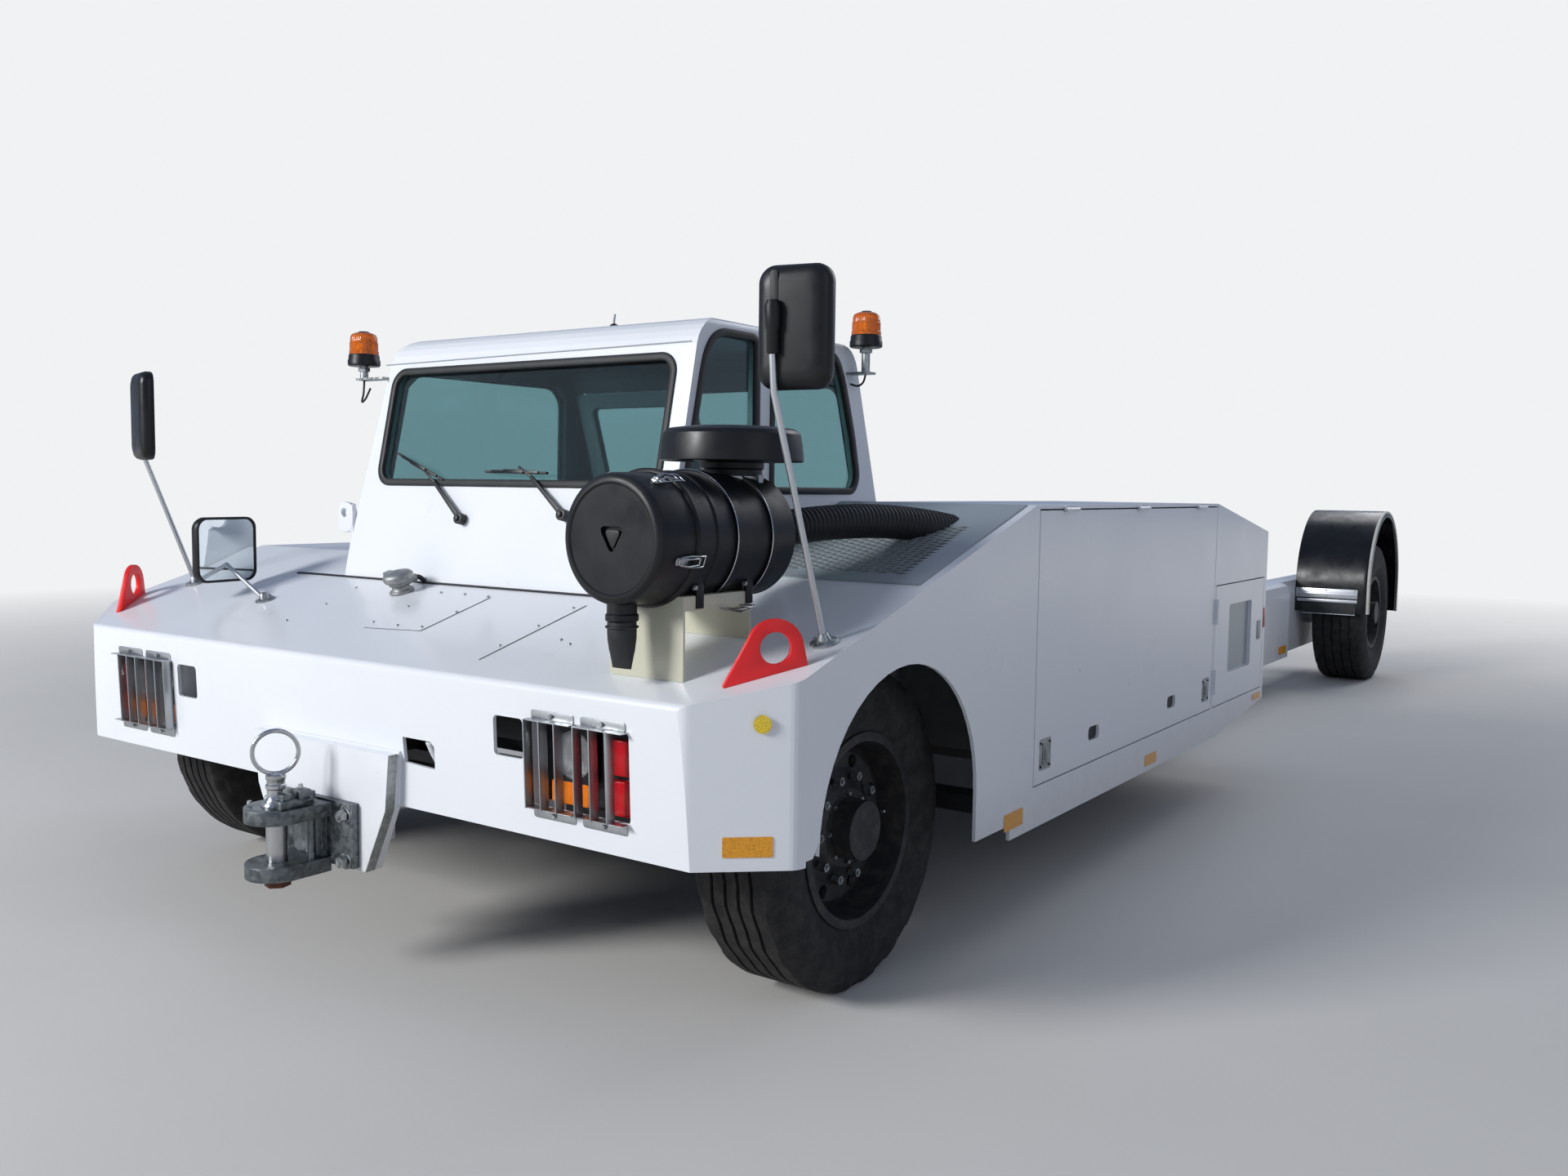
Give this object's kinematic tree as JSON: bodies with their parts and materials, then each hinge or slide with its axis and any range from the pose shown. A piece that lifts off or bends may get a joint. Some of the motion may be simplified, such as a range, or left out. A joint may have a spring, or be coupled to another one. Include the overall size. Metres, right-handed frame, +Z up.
{
  "type": "towbarless aircraft tractor",
  "caption": "Low towbarless aircraft tractor: wide white nose body with a central cab, and a lifting cradle between two long arms on rear wheels.",
  "frame": {"origin": "on the ground under the middle of the bounding box", "axes": "+X towards the bumper and tow coupling, +Y to the vehicle's left, +Z up"},
  "size_m": [9.971, 3.4728, 2.194],
  "materials": {
    "white_paint": "gloss",
    "grey_panel": "satin",
    "dark_frame": "satin",
    "engine_grey": "matt",
    "glass": "clear",
    "seat_cover": "matt",
    "dash_plastic": "matt",
    "tyre": "matt",
    "rim_paint": "satin",
    "fender_black": "gloss",
    "galvanised": "satin",
    "pin_steel": "bright",
    "red_paint": "gloss",
    "lamp_guard": "satin",
    "black_plastic": "satin",
    "cream_paint": "satin",
    "hose_rubber": "satin",
    "amber_lens": "gloss"
  },
  "bodies": {
    "tractor": {"bumper": "white_paint", "deck": "white_paint", "intake_panel": "grey_panel", "side_left": "white_paint", "side_right": "white_paint", "bay_roof": "white_paint", "low_deck": "white_paint", "step_well": "white_paint", "rear_wall": "white_paint", "chassis": "dark_frame", "engine": "engine_grey", "cab_shell": "white_paint", "windscreen": "glass", "cab_glass": "glass", "seat": "seat_cover", "console": "dash_plastic", "front_axle": "dark_frame", "arm_left": "white_paint", "arm_right": "white_paint", "cross_frame": "white_paint", "fenders": "fender_black", "tow_jaws": "galvanised", "tow_pin": "pin_steel", "lugs": "red_paint", "lamps": "lamp_guard", "air_cleaner": "black_plastic", "filter_bracket": "cream_paint", "intake_hose": "hose_rubber", "mirrors": "black_plastic", "beacons": "amber_lens"},
    "wheel_front_left": {"tyre_front_left": "tyre", "rim_front_left": "rim_paint"},
    "wheel_front_right": {"tyre_front_right": "tyre", "rim_front_right": "rim_paint"},
    "wheel_rear_left": {"tyre_rear_left": "tyre", "rim_rear_left": "rim_paint"},
    "wheel_rear_right": {"tyre_rear_right": "tyre", "rim_rear_right": "rim_paint"},
    "knuckle_left": {"knuckle_left": "dark_frame"},
    "knuckle_right": {"knuckle_right": "dark_frame"},
    "tie_rod": {"tie_rod": "dark_frame"},
    "cab_door": {"cab_door": "white_paint", "door_glass": "glass"},
    "engine_door": {"engine_door": "white_paint"},
    "service_door": {"service_door": "white_paint"},
    "side_hatch": {"side_hatch": "white_paint"},
    "cradle": {"cradle": "white_paint"},
    "gate_left": {"gate_left": "white_paint"},
    "gate_right": {"gate_right": "white_paint"}
  },
  "joints": [
    {"name": "steer_left", "type": "hinge", "parent": "tractor", "child": "knuckle_left", "pos_m": [3.8885, 1.11, 0.49], "axis": [0, 0, 1], "range_deg": [-32, 32]},
    {"name": "steer_right", "type": "hinge", "parent": "tractor", "child": "knuckle_right", "pos_m": [3.8885, -1.11, 0.49], "axis": [0, 0, 1], "range_deg": [-32, 32]},
    {"name": "tie_rod_swing", "type": "hinge", "parent": "knuckle_left", "child": "tie_rod", "pos_m": [3.6985, 1.11, 0.408], "axis": [0, 0, 1], "range_deg": [-32, 32]},
    {"name": "wheel_front_left_spin", "type": "hinge", "parent": "knuckle_left", "child": "wheel_front_left", "pos_m": [3.8885, 1.35, 0.49], "axis": [0, 1, 0], "continuous": true},
    {"name": "wheel_front_right_spin", "type": "hinge", "parent": "knuckle_right", "child": "wheel_front_right", "pos_m": [3.8885, -1.35, 0.49], "axis": [0, 1, 0], "continuous": true},
    {"name": "wheel_rear_left_spin", "type": "hinge", "parent": "tractor", "child": "wheel_rear_left", "pos_m": [-4.3515, 1.25, 0.558], "axis": [0, 1, 0], "continuous": true},
    {"name": "wheel_rear_right_spin", "type": "hinge", "parent": "tractor", "child": "wheel_rear_right", "pos_m": [-4.3515, -1.25, 0.558], "axis": [0, 1, 0], "continuous": true},
    {"name": "cab_door_swing", "type": "hinge", "parent": "tractor", "child": "cab_door", "pos_m": [2.70926, -0.613, 1.2909], "axis": [0.2984, 0, 0.9545], "range_deg": [0, 95]},
    {"name": "engine_door_lift", "type": "hinge", "parent": "tractor", "child": "engine_door", "pos_m": [2.0285, 1.681, 1.464], "axis": [1, 0, 0], "range_deg": [0, 90]},
    {"name": "service_door_swing", "type": "hinge", "parent": "tractor", "child": "service_door", "pos_m": [0.9615, 1.681, 0.79], "axis": [0, 0, -1], "range_deg": [0, 90]},
    {"name": "side_hatch_lift", "type": "hinge", "parent": "tractor", "child": "side_hatch", "pos_m": [1.0135, -1.681, 1.147], "axis": [-1, 0, 0], "range_deg": [0, 90]},
    {"name": "cradle_tilt", "type": "hinge", "parent": "tractor", "child": "cradle", "pos_m": [-0.6715, 0, 0.6], "axis": [0, 1, 0], "range_deg": [-2.9, 4]},
    {"name": "gate_left_swing", "type": "hinge", "parent": "cradle", "child": "gate_left", "pos_m": [-3.4815, 0.67, 0.3], "axis": [0, 0, -1], "range_deg": [0, 90]},
    {"name": "gate_right_swing", "type": "hinge", "parent": "cradle", "child": "gate_right", "pos_m": [-3.4815, -0.67, 0.3], "axis": [0, 0, 1], "range_deg": [0, 90]}
  ],
  "couplings": [
    {"joint": "steer_right", "follows": "steer_left", "ratio": 1},
    {"joint": "tie_rod_swing", "follows": "steer_left", "ratio": -1}
  ]
}
